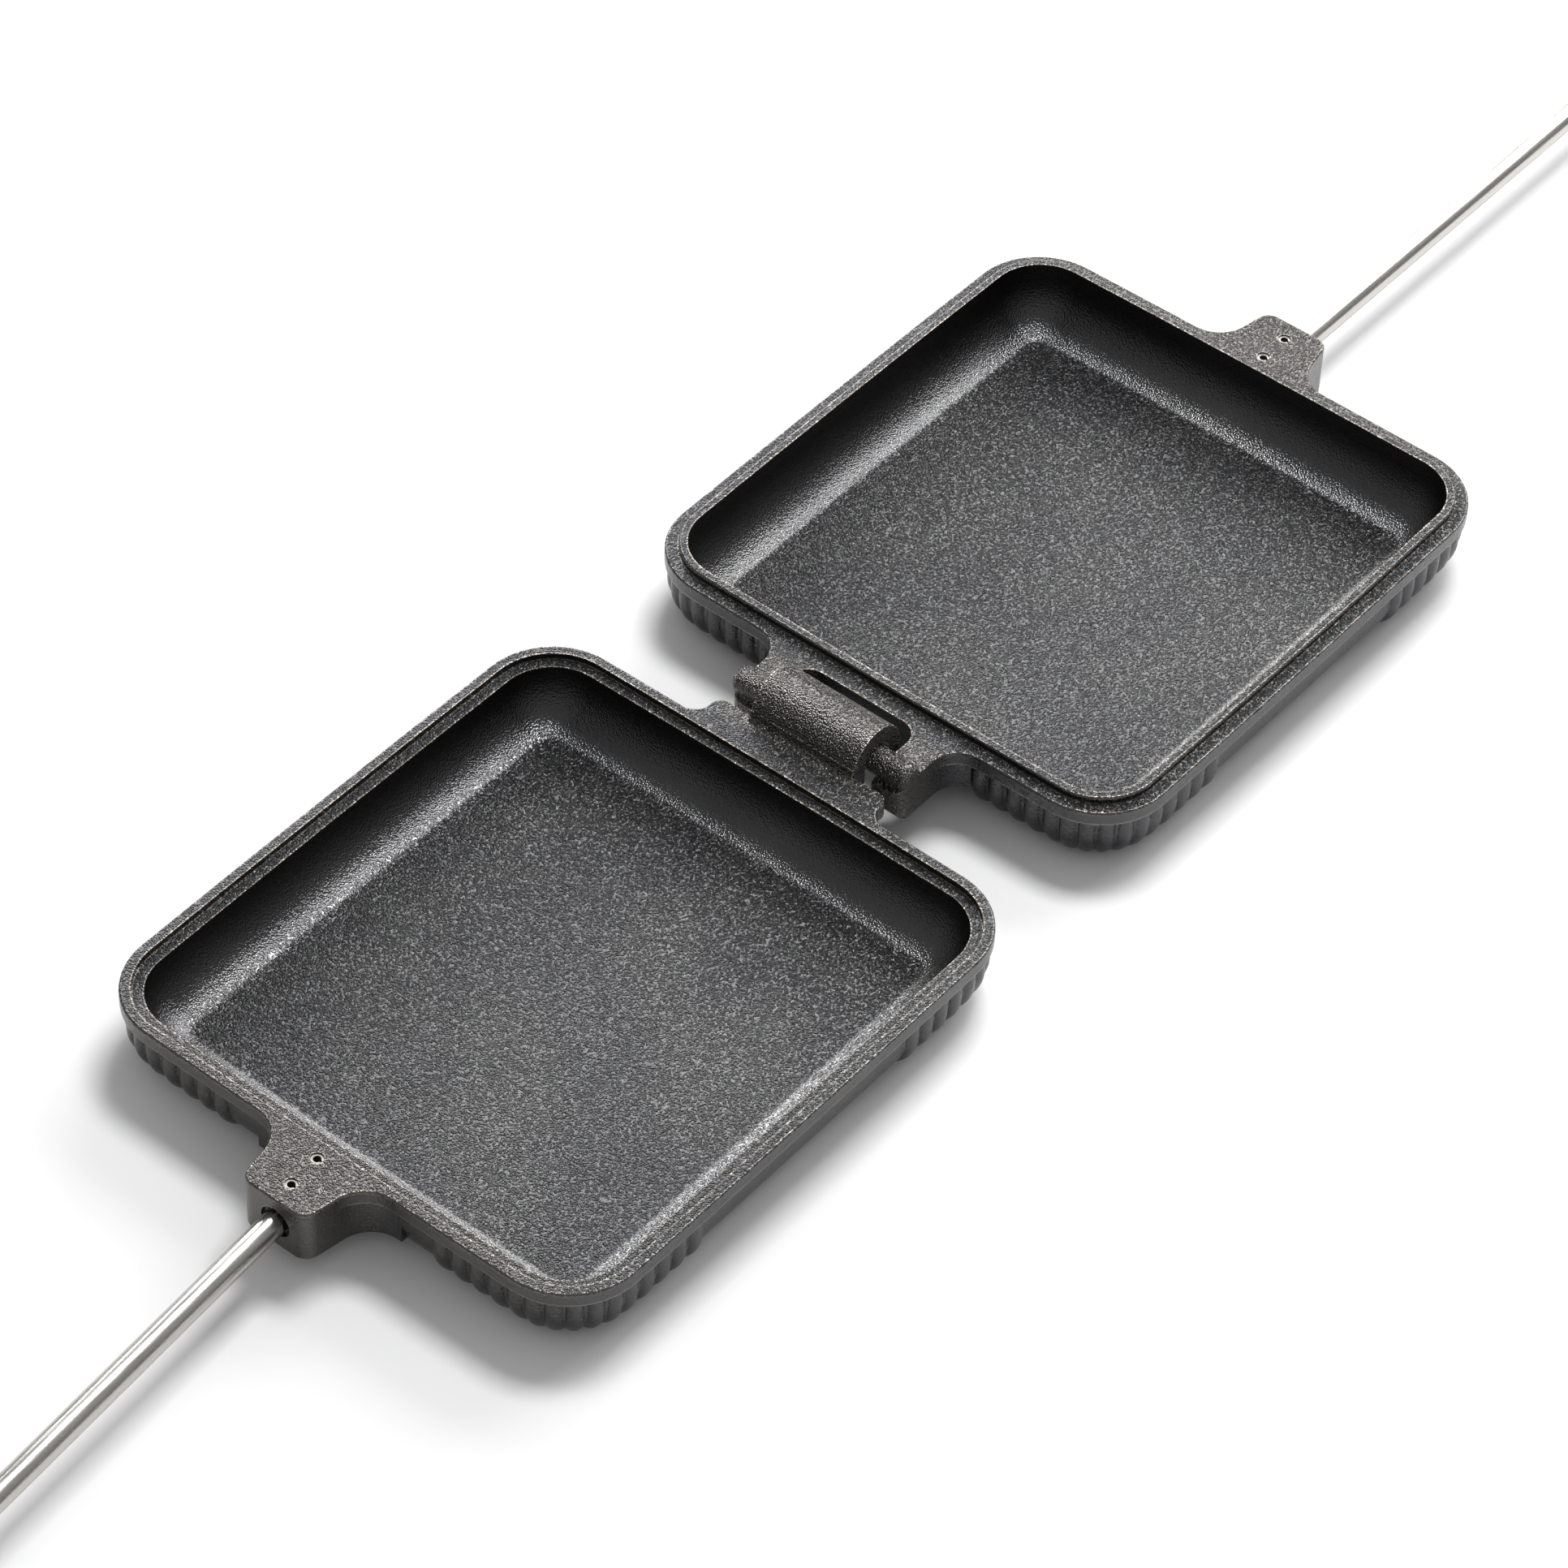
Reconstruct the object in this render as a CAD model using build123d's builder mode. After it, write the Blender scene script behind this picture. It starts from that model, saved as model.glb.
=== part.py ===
from build123d import *
import os

# Pie iron: two square cast-iron pan halves, each on a steel rod with a wooden grip.
# A C-shaped hook on one half takes hold of a cast bar on the other, and that is the hinge.
# Frame: X along the hinge, Y along the handles, Z up. The origin is on the floor under
# the hinge bar. The iron lies open and hooked: hook half on -Y, bar half on +Y.

os.makedirs("parts", exist_ok=True)

# ---------------------------------------------------------------- driving sizes, mm
# pan half
pan_width = 114.0  # along the hinge
pan_length = 122.4  # from the hinge side to the handle side
pan_height = 15.5  # base to the top of the rim
side_bow = 0.4  # swell of each side at its middle
corner_radius = 15.0
rim_width = 4.3  # outer edge to the mouth of the cavity
band_height = 2.9  # upright band round the rim
body_inset = 1.2  # the body stands in by this much under the band
body_round = 9.0  # round of the outer bottom edge
floor_thickness = 3.2
cavity_round = 9.5  # round of the inner bottom edge
rim_edge_round = 0.5

# ribs on the outside of the corners
rib_radius = 2.0
rib_height = 0.9  # how far a rib stands out of the body
rib_pitch = 4.1
ribs_along_side = 4  # on each side of a corner
ribs_in_corner = 7
rib_sweep = 65.0  # degrees that a rib runs round the bottom edge

# faces where the halves meet
closing_gap = 0.5  # left between the rims of a closed iron
bead_width = 1.7  # raised bead of the bar half
bead_height = 1.4
bead_side_gap = 0.5  # between the bead and the step of the hook half
bead_top_gap = 0.4  # above the bead of a closed iron
bead_edge_round = 0.5

# hinge
bar_diameter = 5.5
bar_overhang = 0.5  # bar past the sides of its tab
bar_end_round = 1.5
hook_clearance = 0.45  # between the bar and the hook round it
hook_wall = 3.6
hook_width = 24.0
hook_tip_drop = 5.0  # hook tip below the hinge axis
hook_side_gap = 1.5  # between the hook and each ear
hook_root_radius = 2.0
ear_width = 6.5
ear_cover = 0.4  # ear in front of the bar
slot_swing_gap = 4.1  # between the hook and the far wall of the slot
slot_land = 1.3  # from the slot to the outer edge of the rim
slot_corner_radius = 4.0
bar_tab_thickness = 9.35
hook_tab_thickness = 3.5
hook_tab_gap = 2.85  # between the hook half's tab and the ears
tab_corner_radius = 2.4
hook_tab_root_radius = 3.6
bar_tab_root_radius = 6.0

# handle boss
boss_length = 12.8  # past the outer edge of the rim
boss_root_width = 19.0
boss_end_width = 14.6
boss_wall = 3.2  # under the rod
boss_corner_radius = 3.0
boss_root_radius = 7.0

# rod and its roll pins
rod_diameter = 4.8
rod_depth = 5.6  # centre of the rod below the top of the rim
hook_rod_lean = 4.3  # degrees in plan, so that the two grips lie side by side when closed
bar_rod_lean = 0.0
rod_fit = 0.06  # radial room of the rod in its bores
pin_diameter = 2.4
pin_wall = 0.45
pin_slit = 0.5
pin_fit = 0.03
pin_recess = 0.3  # pin ends below the faces of the boss
pin_from_end = 4.6  # outer pin to the end of the boss
pin_spacing = 7.0
bore_past_pin = 2.0  # blind end of the bore past the inner pin
bore_mouth_diameter = 6.4
bore_mouth_depth = 0.9

# grip
overall_length = 686.0  # hinge axis to the tip of the cap nut
grip_length = 130.0
grip_diameter = 19.0  # at its two swells
grip_waist_diameter = 16.0
grip_end_diameter = 12.5
ferrule_length = 14.0
ferrule_diameter = 12.6
ferrule_wall = 0.8
ferrule_fit = 0.05
washer_diameter = 10.6
washer_thickness = 1.2
nut_across_flats = 8.0
nut_height = 4.0
nut_dome_radius = 3.6
nut_wall = 1.2  # end of the rod to the tip of the nut

# ---------------------------------------------------------------- sizes that follow
parting_height = pan_height + closing_gap / 2
bar_radius = bar_diameter / 2
hook_inner = bar_radius + hook_clearance
hook_outer = hook_inner + hook_wall
hinge_reach = hook_outer + slot_swing_gap + slot_land  # hinge axis to a rim's outer edge
slot_length = hook_width + 2 * hook_side_gap
tab_width = slot_length + 2 * ear_width
ear_front = bar_radius + ear_cover
hook_tab_front = ear_front + hook_tab_gap  # hinge axis to the edge of the hook half's tab
pan_centre = hinge_reach + pan_length / 2
rim_end = hinge_reach + pan_length
boss_end = rim_end + boss_length
rod_height = pan_height - rod_depth
rod_radius = rod_diameter / 2
bore_radius = rod_radius + rod_fit
boss_bottom = rod_height - bore_radius - boss_wall
handle_pivot = boss_end - pin_from_end - pin_spacing / 2  # midway between the pins
pin_steps = [-pin_spacing / 2, pin_spacing / 2]
rod_start = -pin_spacing / 2 - bore_past_pin
bore_length = boss_end - handle_pivot - rod_start
rebate_width = bead_width + bead_side_gap
rebate_depth = bead_height + bead_top_gap - closing_gap
through = 2 * pan_height  # long enough to cut right through a pan

HOOK_SIDE = -1
BAR_SIDE = 1


# ---------------------------------------------------------------- shared drawing
def pan_plane(side, height):
    """Horizontal plane at a height, centred on the pan of one half."""
    return Plane(origin=(0, side * pan_centre, height))


def outline(inset):
    """Square with bowed sides and round corners, drawn in from the rim's outer edge."""
    half_x = pan_width / 2 - inset
    half_y = pan_length / 2 - inset
    corner_x = half_x - side_bow
    corner_y = half_y - side_bow
    with BuildSketch() as square:
        with BuildLine():
            ThreePointArc((-corner_x, -corner_y), (0, -half_y), (corner_x, -corner_y))
            ThreePointArc((corner_x, -corner_y), (half_x, 0), (corner_x, corner_y))
            ThreePointArc((corner_x, corner_y), (0, half_y), (-corner_x, corner_y))
            ThreePointArc((-corner_x, corner_y), (-half_x, 0), (-corner_x, -corner_y))
        make_face()
        fillet(square.vertices(), corner_radius - inset)
    return square.sketch


def rim_plan(side, tab_length, tab_root_radius, inset=0):
    """Plan of a pan with its hinge tab and handle boss, blended into the outline."""
    half_y = pan_length / 2
    boss_taper = (boss_root_width - boss_end_width) / 2 / boss_length
    inner_half_width = boss_root_width / 2 + boss_taper * rim_width
    with BuildSketch() as plan:
        add(outline(inset))
        with Locations((0, -side * (half_y + (tab_length - rim_width) / 2))):
            Rectangle(tab_width, tab_length + rim_width)
        with BuildLine():
            Polyline(
                (-inner_half_width, side * (half_y - rim_width)),
                (inner_half_width, side * (half_y - rim_width)),
                (boss_end_width / 2, side * (half_y + boss_length)),
                (-boss_end_width / 2, side * (half_y + boss_length)),
                close=True,
            )
        make_face()
        for towards, length, root_radius, end_radius in (
            (-side, tab_length, tab_root_radius, tab_corner_radius),
            (side, boss_length, boss_root_radius, boss_corner_radius),
        ):
            roots = plan.vertices().filter_by(
                lambda v: abs(v.X) <= tab_width / 2 + 1 and 0 < v.Y * towards < half_y + length / 2
            )
            fillet(roots, root_radius)
            # a fillet makes new vertices, so the far ends are picked afresh
            fillet(plan.vertices().group_by(Axis.Y)[-1 if towards > 0 else 0], end_radius)
    return plan.sketch


def handle_plane(side, distance):
    """Plane square to a rod, at a distance along it from the middle of its pins."""
    lean = hook_rod_lean if side == HOOK_SIDE else bar_rod_lean
    direction = Vector(0, side).rotate(Axis.Z, lean)
    middle = Vector(0, side * handle_pivot, rod_height)
    return Plane(
        origin=middle + direction * distance,
        x_dir=Vector(0, 0, 1).cross(direction),
        z_dir=direction,
    )


def pin_points(side):
    """Places of the two roll pins in plan, on the centre line of the rod."""
    origins = [handle_plane(side, step).origin for step in pin_steps]
    return [(origin.X, origin.Y) for origin in origins]


def rib_locations(side):
    """Places on the body's outline, at each corner of one pan, turned to face outwards."""
    half_x = pan_width / 2 - body_inset
    half_y = pan_length / 2 - body_inset
    radius = corner_radius - body_inset
    centre_x = half_x - side_bow - radius
    centre_y = half_y - side_bow - radius
    places = []
    for sign_x in (-1, 1):
        for sign_y in (-1, 1):
            for step in range(1, ribs_along_side + 1):
                y = centre_y - step * rib_pitch
                x = half_x - side_bow * (y / half_y) ** 2
                places.append((sign_x * x, sign_y * y, 90 - sign_x * 90))
                x = centre_x - step * rib_pitch
                y = half_y - side_bow * (x / half_x) ** 2
                places.append((sign_x * x, sign_y * y, sign_y * 90))
            for step in range(ribs_in_corner):
                turn = 90 * step / (ribs_in_corner - 1)
                outward = Vector(radius, 0).rotate(Axis.Z, turn)
                x = sign_x * (centre_x + outward.X)
                y = sign_y * (centre_y + outward.Y)
                places.append((x, y, 90 - sign_x * 90 + sign_x * sign_y * turn))
    return [Location((x, side * pan_centre + y, 0), (0, 0, turn)) for x, y, turn in places]


# ---------------------------------------------------------------- shapes used by both castings
rib_depth = rib_radius - rib_height  # axis of a rib inside the body's surface
with BuildPart() as rib:
    with BuildLine(Plane.XZ):
        rib_side = Line((-rib_depth, pan_height - band_height / 2), (-rib_depth, body_round))
        JernArc(rib_side @ 1, rib_side % 1, body_round - rib_depth, -rib_sweep)
    with BuildSketch(Plane.XY.offset(pan_height - band_height / 2)):
        with Locations((-rib_depth, 0)):
            Circle(rib_radius)
    sweep()


def cavity_tool(side):
    """Space inside a pan: the mouth outline with a large round at its foot."""
    with BuildPart() as cavity:
        with BuildSketch(pan_plane(side, floor_thickness)) as mouth:
            add(outline(rim_width))
        extrude(amount=through)
        fillet(cavity.faces().sort_by(Axis.Z)[0].edges(), cavity_round)
    return cavity.part


def pan_body(side):
    """Body of a pan under its rim band: round at the foot, ribbed at the corners."""
    with BuildPart() as body:
        with BuildSketch(pan_plane(side, 0)) as base:
            add(outline(body_inset))
        extrude(amount=pan_height - band_height)
        fillet(body.faces().sort_by(Axis.Z)[0].edges(), body_round)
        with Locations(*rib_locations(side)):
            add(rib.part)
        with BuildSketch(pan_plane(side, pan_height - band_height)) as above:
            add(outline(-rim_width))
        extrude(amount=through, mode=Mode.SUBTRACT)
    return body.part


def handle_boss(side):
    """Full height of the boss, with the flare that blends it into the pan."""
    with BuildPart() as boss:
        with BuildSketch(pan_plane(side, boss_bottom)) as plan:
            add(rim_plan(side, hinge_reach, hook_tab_root_radius, body_inset))
            with Locations((0, side * (pan_length / 2 + boss_length / 2 - rim_width / 2))):
                Rectangle(
                    boss_root_width + 2 * boss_root_radius,
                    boss_length + rim_width,
                    mode=Mode.INTERSECT,
                )
        extrude(amount=pan_height - band_height - boss_bottom)
    return boss.part


def handle_holes(side):
    """Blind bore for the rod and the two pin holes that cross it."""
    with BuildPart() as holes:
        with BuildSketch(handle_plane(side, rod_start)):
            Circle(bore_radius)
        extrude(amount=2 * bore_length)
        with BuildSketch(handle_plane(side, rod_start + bore_length - bore_mouth_depth)):
            Circle(bore_mouth_diameter / 2)
        extrude(amount=bore_length)
        with BuildSketch(Plane.XY):
            with Locations(*pin_points(side)):
                Circle(pin_diameter / 2 + pin_fit)
        extrude(amount=through)
    return holes.part


# ---------------------------------------------------------------- hook half casting
hook_tab_length = hinge_reach - hook_tab_front
with BuildPart() as hook_pan:
    # rim band with its tab and boss in one plan
    with BuildSketch(pan_plane(HOOK_SIDE, pan_height - band_height)) as hook_rim:
        add(rim_plan(HOOK_SIDE, hook_tab_length, hook_tab_root_radius))
    extrude(amount=band_height)
    fillet(hook_pan.faces().sort_by(Axis.Z)[-1].edges(), rim_edge_round)
    # step down to the inner land
    with BuildSketch(pan_plane(HOOK_SIDE, pan_height - rebate_depth)) as rebate:
        add(outline(rim_width - rebate_width))
    extrude(amount=through, mode=Mode.SUBTRACT)
    # the tab under the band
    with BuildSketch(pan_plane(HOOK_SIDE, pan_height - hook_tab_thickness)) as hook_tab:
        add(rim_plan(HOOK_SIDE, hook_tab_length, hook_tab_root_radius, body_inset))
        with Locations((0, pan_length / 2 + hook_tab_length / 2 - rim_width / 2)):
            Rectangle(
                tab_width + 2 * hook_tab_root_radius,
                hook_tab_length + rim_width,
                mode=Mode.INTERSECT,
            )
    extrude(amount=hook_tab_thickness - band_height)
    add(pan_body(HOOK_SIDE))
    add(handle_boss(HOOK_SIDE))
    # hook: a leg on the edge of the tab, half a ring over the bar, and a tip past it
    with BuildSketch(Plane.YZ.offset(-hook_width / 2)) as hook_profile:
        with BuildLine():
            Polyline(
                (-hook_outer, parting_height),
                (-hook_outer, pan_height - hook_tab_thickness),
                (-hook_inner, pan_height - hook_tab_thickness),
                (-hook_inner, parting_height),
            )
            ThreePointArc(
                (-hook_inner, parting_height),
                (0, parting_height + hook_inner),
                (hook_inner, parting_height),
            )
            Polyline(
                (hook_inner, parting_height),
                (hook_inner, parting_height - hook_tip_drop),
                (hook_outer, parting_height - hook_tip_drop),
                (hook_outer, parting_height),
            )
            ThreePointArc(
                (hook_outer, parting_height),
                (0, parting_height + hook_outer),
                (-hook_outer, parting_height),
            )
        make_face()
        # seen along the hinge, X of the sketch is Y of the frame
        tip_points = hook_profile.vertices().filter_by(lambda v: v.X > 0).group_by(Axis.Y)[0]
        fillet(tip_points, hook_wall * 0.45)
        # round root on the top of the tab
        with BuildLine():
            RadiusArc(
                (-hook_outer - hook_root_radius, pan_height),
                (-hook_outer, pan_height + hook_root_radius),
                -hook_root_radius,
            )
            Polyline(
                (-hook_outer, pan_height + hook_root_radius),
                (-hook_inner, pan_height),
                (-hook_inner, pan_height - band_height),
                (-hook_outer - hook_root_radius, pan_height - band_height),
                (-hook_outer - hook_root_radius, pan_height),
            )
        make_face()
    extrude(amount=hook_width)
    add(cavity_tool(HOOK_SIDE), mode=Mode.SUBTRACT)
    add(handle_holes(HOOK_SIDE), mode=Mode.SUBTRACT)

# ---------------------------------------------------------------- bar half casting
bar_tab_length = hinge_reach + ear_front
bar_tab_bottom = pan_height - bar_tab_thickness
with BuildPart() as slot_tool:
    # the hook stands in this slot, which is open under the bar
    with BuildSketch(Plane.XY) as slot:
        slot_far = hinge_reach - slot_land
        slot_near = -2 * ear_front
        with Locations((0, (slot_far + slot_near) / 2)):
            Rectangle(slot_length, slot_far - slot_near)
        fillet(slot.vertices().group_by(Axis.Y)[-1], slot_corner_radius)
    extrude(amount=through)

with BuildPart() as bar_tab:
    # plan of the tab, cut to its profile as seen along the hinge
    with BuildSketch(pan_plane(BAR_SIDE, bar_tab_bottom)) as bar_tab_plan:
        add(rim_plan(BAR_SIDE, bar_tab_length, bar_tab_root_radius, body_inset))
        with Locations((0, -(pan_length / 2 + bar_tab_length / 2 - rim_width / 2))):
            Rectangle(
                tab_width + 2 * bar_tab_root_radius,
                bar_tab_length + rim_width,
                mode=Mode.INTERSECT,
            )
    extrude(amount=bar_tab_thickness)
    with BuildSketch(Plane.YZ.offset(-tab_width)) as bar_tab_profile:
        with BuildLine():
            Polyline(
                (0, bar_tab_bottom),
                (pan_centre, bar_tab_bottom),
                (pan_centre, pan_height - band_height),
                (0, pan_height - band_height),
                (0, pan_height),
                (-ear_front, parting_height - bar_radius),
                (-ear_front, bar_tab_bottom + ear_front),
            )
            RadiusArc((-ear_front, bar_tab_bottom + ear_front), (0, bar_tab_bottom), -ear_front)
        make_face()
    extrude(amount=2 * tab_width, mode=Mode.INTERSECT)
    add(slot_tool.part, mode=Mode.SUBTRACT)

with BuildPart() as hinge_bar:
    with BuildSketch(Plane.YZ.offset(-tab_width / 2 - bar_overhang)):
        with Locations((0, parting_height)):
            Circle(bar_radius)
    extrude(amount=tab_width + 2 * bar_overhang)
    fillet(hinge_bar.edges().filter_by(GeomType.CIRCLE), bar_end_round)

with BuildPart() as bar_pan:
    # rim band with its tab and boss in one plan
    with BuildSketch(pan_plane(BAR_SIDE, pan_height - band_height)) as bar_rim:
        add(rim_plan(BAR_SIDE, bar_tab_length, bar_tab_root_radius))
    extrude(amount=band_height)
    fillet(bar_pan.faces().sort_by(Axis.Z)[-1].edges(), rim_edge_round)
    add(pan_body(BAR_SIDE))
    add(handle_boss(BAR_SIDE))
    # the ears end under the bar, and the slot is open
    with BuildSketch(Plane.YZ.offset(-tab_width)) as under_bar:
        with Locations((-pan_length / 2, pan_height)):
            Rectangle(pan_length, 2 * pan_height)
    extrude(amount=2 * tab_width, mode=Mode.SUBTRACT)
    add(slot_tool.part, mode=Mode.SUBTRACT)
    add(bar_tab.part)
    # bead round the mouth of the cavity
    with BuildSketch(pan_plane(BAR_SIDE, pan_height)) as bead:
        add(outline(rim_width - bead_width))
    extrude(amount=bead_height)
    fillet(bar_pan.faces().sort_by(Axis.Z)[-1].edges(), bead_edge_round)
    add(cavity_tool(BAR_SIDE), mode=Mode.SUBTRACT)
    add(hinge_bar.part)
    add(handle_holes(BAR_SIDE), mode=Mode.SUBTRACT)

# ---------------------------------------------------------------- handle pieces, drawn along +Z
nut_length = nut_height + nut_dome_radius
neck_radius = ferrule_diameter / 2 - ferrule_wall - ferrule_fit

with BuildPart() as ferrule:
    with BuildSketch():
        Circle(ferrule_diameter / 2)
    extrude(amount=ferrule_length)
    fillet(ferrule.faces().sort_by(Axis.Z)[0].edges(), ferrule_wall)
    with BuildSketch(Plane.XY.offset(ferrule_wall)):
        Circle(ferrule_diameter / 2 - ferrule_wall)
    extrude(amount=ferrule_length, mode=Mode.SUBTRACT)
    with BuildSketch():
        Circle(bore_radius)
    extrude(amount=ferrule_length, mode=Mode.SUBTRACT)

with BuildPart() as grip:
    # half profile of the turned wood, from its neck in the ferrule to its end
    with BuildSketch(Plane.XZ) as grip_profile:
        with BuildLine():
            Polyline(
                (bore_radius, ferrule_wall),
                (neck_radius, ferrule_wall),
                (neck_radius, ferrule_length),
                (ferrule_diameter / 2, ferrule_length),
            )
            front_swell = (grip_diameter / 2, grip_length * 0.30)
            rear_swell = (grip_diameter / 2, grip_length * 0.88)
            Spline(
                (ferrule_diameter / 2, ferrule_length),
                front_swell,
                tangents=((0.35, 1), (0, 1)),
            )
            Spline(
                front_swell,
                (grip_waist_diameter / 2, grip_length * 0.59),
                rear_swell,
                tangents=((0, 1), (0, 1)),
            )
            Spline(
                rear_swell,
                (grip_end_diameter / 2, grip_length),
                tangents=((0, 1), (-1, 0.3)),
            )
            Polyline((grip_end_diameter / 2, grip_length), (bore_radius, grip_length))
            Line((bore_radius, grip_length), (bore_radius, ferrule_wall))
        make_face()
    revolve(axis=Axis.Z)

with BuildPart() as washer:
    with BuildSketch():
        Circle(washer_diameter / 2)
        Circle(bore_radius, mode=Mode.SUBTRACT)
    extrude(amount=washer_thickness)
    outer_edges = washer.edges().filter_by(GeomType.CIRCLE).group_by(SortBy.RADIUS)[-1]
    chamfer(outer_edges, washer_thickness / 4)

with BuildPart() as nut:
    with BuildSketch():
        RegularPolygon(nut_across_flats / 2, 6, major_radius=False)
    extrude(amount=nut_height)
    with Locations((0, 0, nut_height)):
        Sphere(nut_dome_radius)
    with BuildSketch():
        Circle(bore_radius)
    extrude(amount=nut_length - nut_wall, mode=Mode.SUBTRACT)

parts = {"hook_pan": hook_pan.part, "bar_pan": bar_pan.part}
for half, side, lean in (("hook", HOOK_SIDE, hook_rod_lean), ("bar", BAR_SIDE, bar_rod_lean)):
    # both tips reach the same distance from the hinge, whatever the lean
    tip = (overall_length - handle_pivot) / Vector(0, 1).rotate(Axis.Z, lean).Y
    nut_start = tip - nut_length
    washer_start = nut_start - washer_thickness
    grip_start = washer_start - grip_length

    with BuildPart() as rod:
        with BuildSketch(handle_plane(side, rod_start)):
            Circle(rod_radius)
        extrude(amount=tip - nut_wall - rod_start)
        with BuildSketch(Plane.XY):
            with Locations(*pin_points(side)):
                Circle(pin_diameter / 2 + pin_fit)
        extrude(amount=through, mode=Mode.SUBTRACT)
    parts[half + "_rod"] = rod.part

    with BuildPart() as pins:
        with BuildSketch(Plane.XY.offset(boss_bottom + pin_recess)):
            with Locations(*pin_points(side)):
                Circle(pin_diameter / 2)
                Circle(pin_diameter / 2 - pin_wall, mode=Mode.SUBTRACT)
                with Locations((pin_diameter / 2, 0)):
                    Rectangle(pin_diameter, pin_slit, mode=Mode.SUBTRACT)
        extrude(amount=pan_height - boss_bottom - 2 * pin_recess)
    parts[half + "_pins"] = pins.part

    for name, shape, start in (
        ("ferrule", ferrule, grip_start),
        ("grip", grip, grip_start),
        ("washer", washer, washer_start),
        ("nut", nut, nut_start),
    ):
        with BuildPart() as placed:
            with Locations(handle_plane(side, start).location):
                add(shape.part)
        parts[half + "_" + name] = placed.part

for name, part in parts.items():
    part.label = name
    export_step(part, "parts/" + name + ".step")
    print(name, len(part.solids()), round(part.volume))
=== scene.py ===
# %% [markdown]
# # A cast-iron pie iron
#
# This lesson dresses a pie iron: two square cast-iron pans, each on a bright steel rod with a
# turned wooden grip. The shapes come from a CAD model, the *frame*. Here we give every part
# its real finish, add the small things that CAD leaves out, and set up camera and light.

# %% Load the frame
import math

import bpy
from mathutils import Matrix, Vector

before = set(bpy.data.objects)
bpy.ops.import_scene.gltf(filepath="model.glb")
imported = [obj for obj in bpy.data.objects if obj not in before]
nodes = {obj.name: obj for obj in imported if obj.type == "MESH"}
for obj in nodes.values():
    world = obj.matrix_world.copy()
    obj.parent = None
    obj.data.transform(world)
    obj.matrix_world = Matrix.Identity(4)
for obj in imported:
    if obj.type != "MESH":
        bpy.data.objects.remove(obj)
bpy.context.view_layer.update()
print("nodes:", ", ".join(sorted(nodes)))

# %% [markdown]
# ## Camera
#
# The picture was taken with a long lens from about 46 degrees above the table. A long lens
# keeps the far pan almost as large as the near one. We describe the camera by the point that it
# looks at, its distance, and three angles, and turn those into a matrix once.

# %% Camera
MM = 0.001
PICTURE_PIXELS = 1932
SENSOR_MM = 36.0
FOCAL_PIXELS = 7065.0


def aim_camera(target, distance, azimuth, elevation, roll):
    """Camera that looks at target; azimuth 0 looks along +Y, roll turns the picture."""
    azimuth, elevation, roll = (math.radians(a) for a in (azimuth, elevation, roll))
    forward = Vector((math.sin(azimuth) * math.cos(elevation),
                      math.cos(azimuth) * math.cos(elevation),
                      -math.sin(elevation)))
    level_right = Vector((math.cos(azimuth), -math.sin(azimuth), 0.0))
    level_up = level_right.cross(forward)
    right = math.cos(roll) * level_right + math.sin(roll) * level_up
    up = math.cos(roll) * level_up - math.sin(roll) * level_right
    data = bpy.data.cameras.new("photo_camera")
    data.sensor_width = SENSOR_MM
    data.lens = SENSOR_MM * FOCAL_PIXELS / PICTURE_PIXELS
    camera = bpy.data.objects.new("photo_camera", data)
    bpy.context.scene.collection.objects.link(camera)
    turn = Matrix((right, up, -forward)).transposed().to_4x4()
    camera.matrix_world = Matrix.Translation(target - forward * distance) @ turn
    return camera


camera = aim_camera(Vector((-2.98, -7.64, 5.0)) * MM, 1048.3 * MM, -37.706, 45.62, 2.33)
bpy.context.scene.camera = camera
print("camera lens", round(camera.data.lens, 1), "mm")

# %% [markdown]
# ## Small helpers for materials
#
# Colours are easiest to read as web hex values. Blender wants them linear, so one function
# converts them. A second function adds a node, sets its values and links its inputs, so that
# each material below reads from top to bottom.


# %% Helpers
def hex_colour(text):
    """sRGB hex such as '3a3a3c' as a linear RGBA colour."""
    channels = [int(text[i:i + 2], 16) / 255 for i in (0, 2, 4)]
    linear = [c / 12.92 if c <= 0.04045 else ((c + 0.055) / 1.055) ** 2.4 for c in channels]
    return (*linear, 1.0)


def add_node(material, kind, settings=None, **inputs):
    """Add a node; an input is a value, or a (node, output) pair that is linked to it."""
    tree = material.node_tree
    node = tree.nodes.new("ShaderNode" + kind)
    for name, value in (settings or {}).items():
        setattr(node, name, value)
    for name, value in inputs.items():
        key = int(name[1:]) if name[0] == "_" else name.replace("_", " ")
        if isinstance(value, tuple) and hasattr(value[0], "outputs"):
            tree.links.new(value[0].outputs[value[1]], node.inputs[key])
        else:
            node.inputs[key].default_value = value
    return node


def new_material(name):
    """Empty material with its shader and its Object coordinates."""
    material = bpy.data.materials.new(name)
    material.use_nodes = True
    shader = material.node_tree.nodes["Principled BSDF"]
    place = add_node(material, "TexCoord")
    return material, shader, (place, "Object")


def link(material, source, target, socket):
    material.node_tree.links.new(source[0].outputs[source[1]], target.inputs[socket])


def ramp(material, source, stops):
    """Colour ramp through (position, hex colour) stops."""
    node = add_node(material, "ValToRGB", Fac=source)
    elements = node.color_ramp.elements
    while len(elements) < len(stops):
        elements.new(0.5)
    for element, (position, colour) in zip(elements, stops):
        element.position = position
        element.color = hex_colour(colour)
    return (node, "Color")


def per_metre(size_mm):
    """Texture scale for features of this size in millimetres."""
    return 1.0 / (size_mm * MM)


def dress(node_name, material):
    data = nodes[node_name].data
    data.materials.clear()
    data.materials.append(material)


print("helpers ready")

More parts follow.
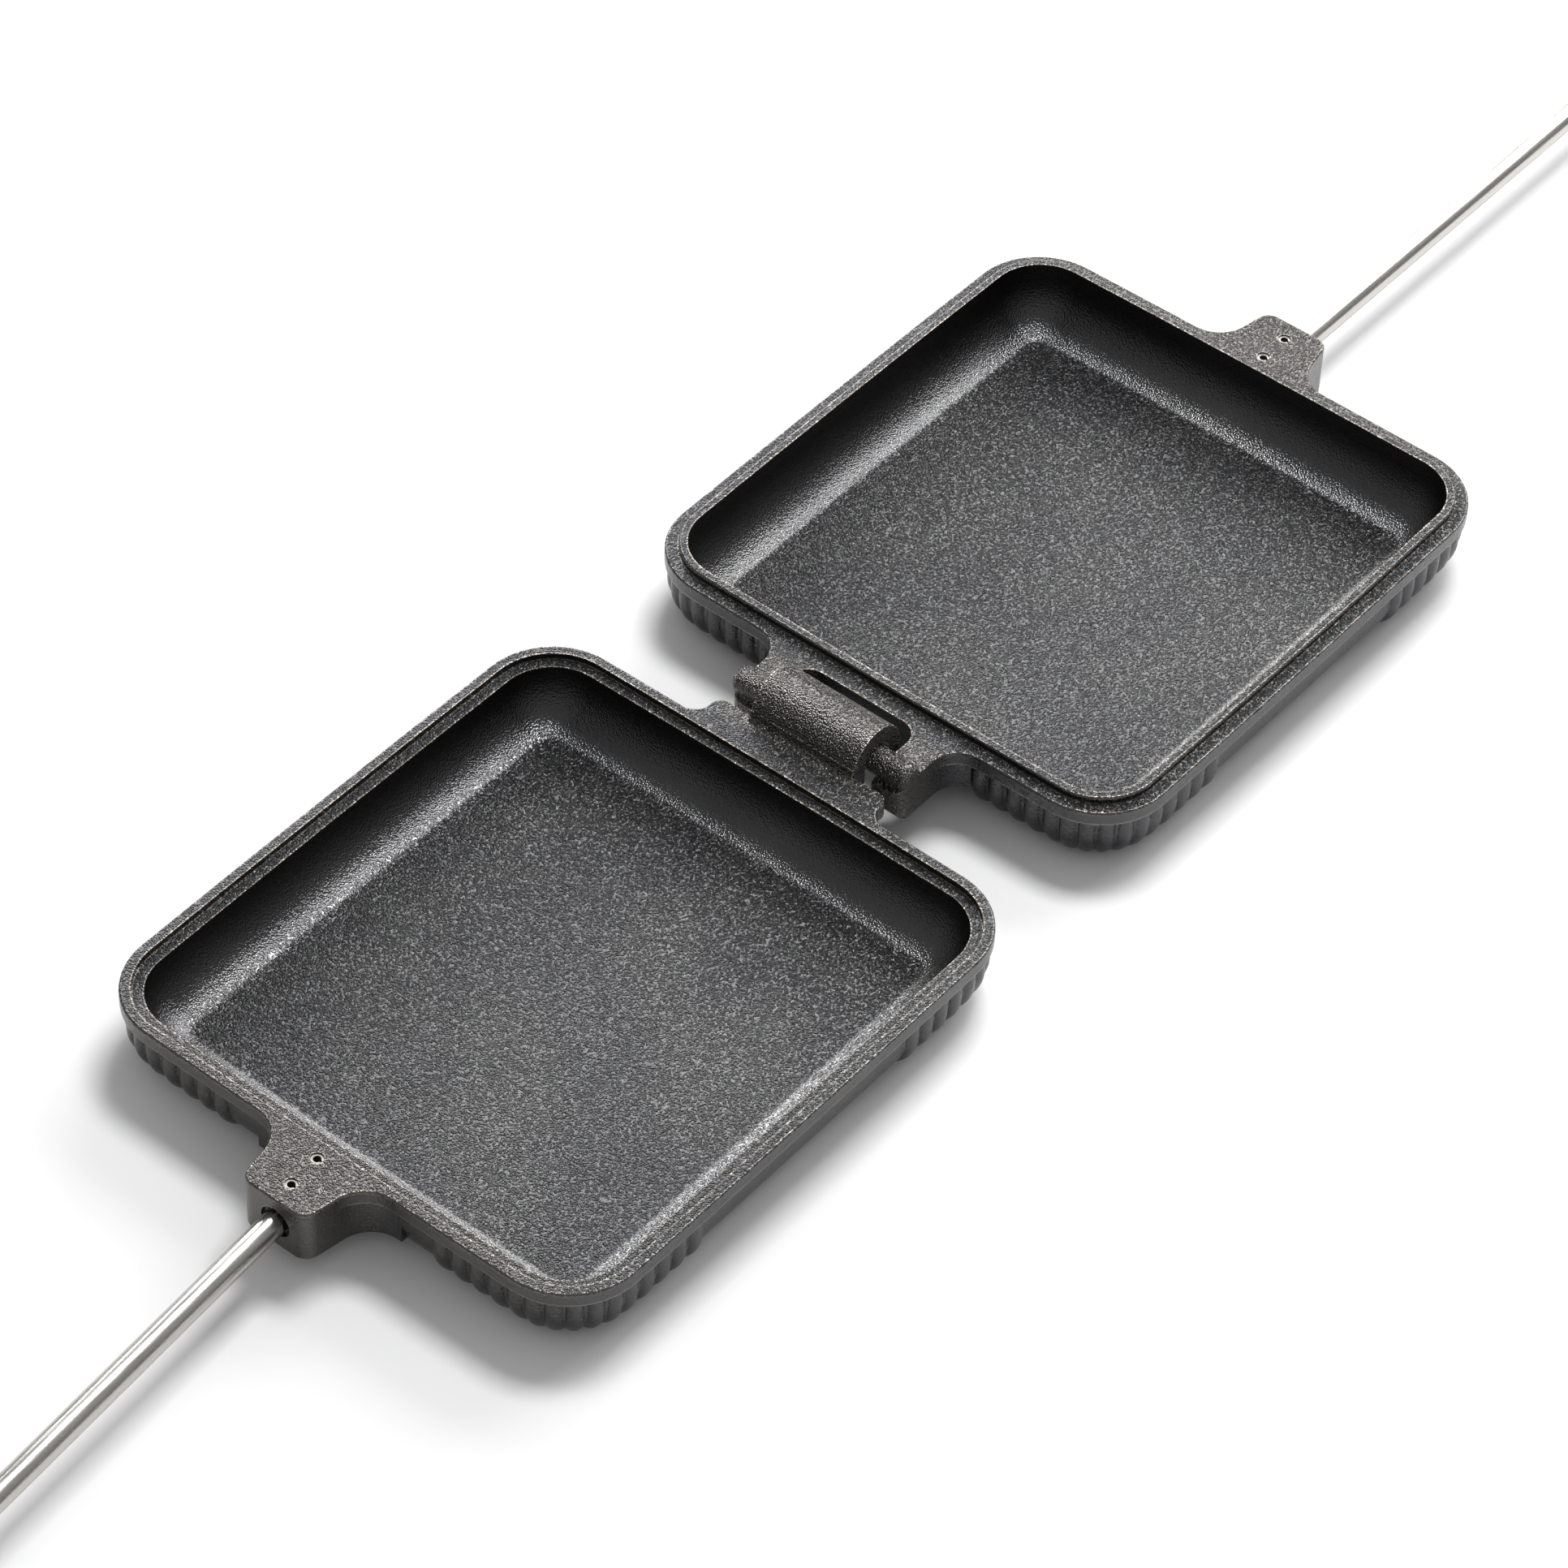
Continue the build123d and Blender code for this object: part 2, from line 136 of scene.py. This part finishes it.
# %% [markdown]
# ## Seasoned grey cast iron
#
# The pans are poured in sand. Sand grains leave a pebbly skin of bumps less than half a millimetre
# across. Over it lies the black oxide of iron with a thin coat of baked oil, the seasoning. That
# skin is a dark, dense mirror and scatters hardly any light: faces that mirror the dark pan are
# almost black, while each grain that mirrors a lamp glints. The upright faces slid off the
# pattern, so they are smoother. Edges rub bare, and there the grey iron shows; the bosses are
# held most and have gone a little paler. The hinge gets the same paler colour as painted light,
# to brighten the hook and bar beyond what the lamps give them.

# %% Cast iron
MOULD_SMOOTH = 0.3  # bump left on upright faces
WORN_RADIUS = 0.7 * MM


def sand_skin(material, place):
    """Height of the cast skin: packed round grains of uneven size on a slightly wavy ground."""
    warp = add_node(material, "TexNoise", Vector=place, Scale=per_metre(0.37), Detail=0.0)
    shift = add_node(material, "VectorMath", {"operation": "MULTIPLY_ADD"},
                     _0=(warp, "Color"), _1=(0.2 * MM,) * 3, _2=place)
    cells = add_node(material, "TexVoronoi", {"feature": "F1"}, Vector=(shift, "Vector"),
                     Scale=per_metre(0.37))
    dome = add_node(material, "MapRange", {"interpolation_type": "SMOOTHSTEP"},
                    Value=(cells, "Distance"), From_Min=0.85, From_Max=0.0)
    sizes = add_node(material, "TexNoise", Vector=place, Scale=per_metre(0.55), Detail=1.0)
    uneven = add_node(material, "MapRange", Value=(sizes, "Fac"), From_Min=0.35, From_Max=0.7,
                      To_Min=0.6, To_Max=1.6)
    grains = add_node(material, "Math", {"operation": "MULTIPLY"}, _0=(dome, 0), _1=(uneven, 0))
    ground = add_node(material, "TexNoise", Vector=place, Scale=per_metre(1.8), Detail=2.0)
    return add_node(material, "Math", {"operation": "MULTIPLY_ADD"}, _0=(ground, "Fac"), _1=0.4,
                    _2=(grains, 0))


def worn_edges(material):
    """1 on a rounded-off edge and 0 on open faces, from how far the normal turns close by."""
    soft = add_node(material, "Bevel", {"samples": 4}, Radius=WORN_RADIUS)
    flat = add_node(material, "NewGeometry")
    same = add_node(material, "VectorMath", {"operation": "DOT_PRODUCT"}, _0=(soft, "Normal"),
                    _1=(flat, "Normal"))
    return add_node(material, "MapRange", {"interpolation_type": "SMOOTHSTEP"},
                    Value=(same, "Value"), From_Min=0.99, From_Max=0.85)


def cast_iron():
    material, shader, place = new_material("seasoned_cast_iron")
    side = add_node(material, "SeparateXYZ", Vector=(place[0], "Normal"))
    level = add_node(material, "Math", {"operation": "ABSOLUTE"}, _0=(side, "Z"))
    sandy = add_node(material, "MapRange", {"interpolation_type": "SMOOTHSTEP"},
                     Value=(level, 0), From_Min=0.972, From_Max=0.999)
    skin = sand_skin(material, place)
    spot = add_node(material, "SeparateXYZ", Vector=place)
    along = add_node(material, "Math", {"operation": "ABSOLUTE"}, _0=(spot, "Y"))
    hinge = add_node(material, "MapRange", Value=(along, 0), From_Min=10.0 * MM,
                     From_Max=7.0 * MM)
    rough_part = add_node(material, "Math", {"operation": "MAXIMUM"}, _0=(sandy, 0), _1=(hinge, 0))
    strength = add_node(material, "MapRange", Value=(rough_part, 0), To_Min=MOULD_SMOOTH)
    bump = add_node(material, "Bump", Strength=(strength, 0), Distance=0.29 * MM, Height=(skin, 0))
    oil = add_node(material, "TexNoise", Vector=place, Scale=per_metre(26.0), Detail=4.0)
    colour = ramp(material, (oil, "Fac"), [(0.3, "49494b"), (0.7, "535353")])
    boss = add_node(material, "MapRange", Value=(along, 0), From_Min=126.0 * MM,
                    From_Max=136.0 * MM)
    # Paler colour: rubbed wear on the bosses; on the hinge it is painted light that brightens the
    # hook and bar.
    boss_wear_and_hinge_lift = add_node(material, "Math", {"operation": "MAXIMUM"}, _0=(boss, 0), _1=(hinge, 0))
    colour = add_node(material, "Mix", {"data_type": "RGBA"}, _0=(boss_wear_and_hinge_lift, 0), _6=colour,
                      _7=hex_colour("5b5957"))
    upper = add_node(material, "MapRange", Value=(spot, "Z"), From_Min=11.0 * MM,
                     From_Max=14.0 * MM)
    edges = worn_edges(material)
    worn = add_node(material, "Math", {"operation": "MULTIPLY"}, _0=(edges, 0), _1=(upper, 0))
    colour = add_node(material, "Mix", {"data_type": "RGBA"}, _0=(worn, 0), _6=(colour, 2),
                      _7=hex_colour("a39c93"))
    gloss = add_node(material, "MapRange", Value=(sandy, 0), To_Min=0.26, To_Max=0.38)
    link(material, (colour, 2), shader, "Base Color")
    link(material, (gloss, 0), shader, "Roughness")
    link(material, (bump, "Normal"), shader, "Normal")
    shader.inputs["Metallic"].default_value = 1.0
    return material


iron = cast_iron()
for name in ("hook_pan", "bar_pan"):
    dress(name, iron)
print("cast iron on both pans")

# %% [markdown]
# ## Bright drawn steel
#
# The rods are drawn through a die, which leaves faint lines along them and a bright, slightly
# soft mirror. Metal has no colour of its own but its reflections.


# %% Rods and fittings
def bright_steel(name, colour, roughness, streak_mm):
    material, shader, place = new_material(name)
    stretched = add_node(material, "Mapping", Vector=place, Scale=(1.0, 0.02, 1.0))
    streaks = add_node(material, "TexNoise", Vector=(stretched, "Vector"),
                       Scale=per_metre(streak_mm), Detail=3.0)
    rough = add_node(material, "MapRange", Value=(streaks, "Fac"), From_Min=0.3, From_Max=0.7,
                     To_Min=roughness * 0.8, To_Max=roughness * 1.25)
    bump = add_node(material, "Bump", Strength=0.4, Distance=0.004 * MM, Height=(streaks, "Fac"))
    shader.inputs["Base Color"].default_value = hex_colour(colour)
    shader.inputs["Metallic"].default_value = 1.0
    link(material, (rough, 0), shader, "Roughness")
    link(material, (bump, "Normal"), shader, "Normal")
    return material


rod_steel = bright_steel("drawn_steel_rod", "bdbab5", 0.24, 0.4)
pin_steel = bright_steel("spring_steel_pin", "8d8b88", 0.4, 0.5)
plated_steel = bright_steel("nickel_plated_steel", "d2cfc8", 0.25, 0.8)
for half in ("hook", "bar"):
    dress(half + "_rod", rod_steel)
    dress(half + "_pins", pin_steel)
    for fitting in ("ferrule", "washer", "nut"):
        dress(half + "_" + fitting, plated_steel)
print("steel on rods, pins and fittings")

# %% [markdown]
# ## Turned beech
#
# The grips are outside the picture, so their wood is our choice: oiled beech. Each grip is turned
# from a billet cut well away from the heart of the tree, so the growth rings cross it as gentle
# lines that open into loops where the turning cuts through them. Beech is known by its short
# dark flecks. The oil gives it a low, soft sheen.


# %% Wood
def turned_beech():
    material, shader, place = new_material("oiled_beech")
    billet = add_node(material, "Mapping", Vector=place, Location=(0.035, 0.0, 0.02),
                      Scale=(1.0, 0.07, 1.0))
    rings = add_node(material, "TexWave", {"wave_type": "RINGS", "rings_direction": "Y"},
                     Vector=(billet, "Vector"), Scale=per_metre(8.0), Distortion=2.5, Detail=2.0,
                     Detail_Scale=1.5)
    colour = ramp(material, (rings, "Fac"), [(0.1, "a06d45"), (0.6, "8d5b36"), (0.95, "6f4426")])
    along = add_node(material, "Mapping", Vector=place, Scale=(1.0, 0.15, 1.0))
    grain = add_node(material, "TexNoise", Vector=(along, "Vector"), Scale=per_metre(0.9),
                     Detail=2.0)
    fleck = add_node(material, "MapRange", Value=(grain, "Fac"), From_Min=0.58, From_Max=0.68,
                     To_Max=0.6)
    colour = add_node(material, "Mix", {"data_type": "RGBA"}, _0=(fleck, 0), _6=colour,
                      _7=hex_colour("54331d"))
    bump = add_node(material, "Bump", Strength=0.3, Distance=0.06 * MM, Height=(grain, "Fac"))
    sheen = add_node(material, "MapRange", Value=(rings, "Fac"), To_Min=0.4, To_Max=0.5)
    link(material, (colour, 2), shader, "Base Color")
    link(material, (sheen, 0), shader, "Roughness")
    link(material, (bump, "Normal"), shader, "Normal")
    shader.inputs["Coat Weight"].default_value = 0.12
    shader.inputs["Coat Roughness"].default_value = 0.35
    return material


beech = turned_beech()
for half in ("hook", "bar"):
    dress(half + "_grip", beech)
print("beech on both grips")

# %% [markdown]
# ## Floor, background and light
#
# The picture is a studio shot on white paper. The lamps light the paper to just past white, so it
# only darkens where the iron shades it. Reflections see a dim tent and the lamps, and one card on
# the left that lights no paper: it is there only to be mirrored by the grains that face it.


# %% Studio
def studio_floor():
    size = 3.0
    mesh = bpy.data.meshes.new("floor")
    corners = [(x * size, y * size, 0.0) for x, y in ((-1, -1), (1, -1), (1, 1), (-1, 1))]
    mesh.from_pydata(corners, [], [(0, 1, 2, 3)])
    floor = bpy.data.objects.new("floor", mesh)
    bpy.context.scene.collection.objects.link(floor)
    material, shader, _ = new_material("white_paper_sweep")
    shader.inputs["Base Color"].default_value = hex_colour("dededf")
    shader.inputs["Roughness"].default_value = 0.9
    shader.inputs["Specular IOR Level"].default_value = 0.0
    mesh.materials.append(material)
    return floor


def area_light(name, place, target, size, power, colour="ffffff"):
    data = bpy.data.lights.new(name, "AREA")
    data.shape = "RECTANGLE"
    data.size, data.size_y = size
    data.energy = power
    data.color = hex_colour(colour)[:3]
    lamp = bpy.data.objects.new(name, data)
    bpy.context.scene.collection.objects.link(lamp)
    lamp.location = place
    lamp.rotation_euler = (Vector(target) - Vector(place)).to_track_quat("-Z", "Y").to_euler()
    return lamp


def studio_world():
    """White for the camera; mirrors see a tent that darkens at the horizon; dim elsewhere."""
    world = bpy.data.worlds.new("studio")
    bpy.context.scene.world = world
    world.use_nodes = True
    path = add_node(world, "LightPath")
    direction = add_node(world, "TexCoord")
    height = add_node(world, "SeparateXYZ", Vector=(direction, "Generated"))
    tent = add_node(world, "MapRange", {"interpolation_type": "SMOOTHSTEP"}, Value=(height, "Z"),
                    From_Min=0.0, From_Max=0.6, To_Min=0.2, To_Max=0.4)
    unseen = add_node(world, "Mix", {"data_type": "FLOAT"}, _0=(path, "Is Glossy Ray"), _2=0.55,
                      _3=(tent, 0))
    strength = add_node(world, "Mix", {"data_type": "FLOAT"}, _0=(path, "Is Camera Ray"),
                        _2=(unseen, 0), _3=1.0)
    background = world.node_tree.nodes["Background"]
    background.inputs["Color"].default_value = (1.0, 1.0, 1.0, 1.0)
    link(world, (strength, 0), background, "Strength")


studio_floor()
studio_world()
area_light("overhead_box", (-0.1, 0.4, 0.93), (0.0, 0.0, 0.0), (0.42, 0.28), 9.5)
area_light("back_softbox", (-0.15, 1.25, 0.75), (0.0, 0.0, 0.0), (1.3, 0.6), 20.0)
left_card = area_light("left_card", (-1.05, 0.75, 0.5), (0.0, 0.0, 0.0), (0.6, 0.6), 18.0)
left_card.visible_diffuse = False
scene = bpy.context.scene
scene.view_settings.view_transform = "Standard"
print("studio ready")

# %% [markdown]
# ## Sizes
#
# Looks must not change the size of the part.

# %% Finish
print("finished")
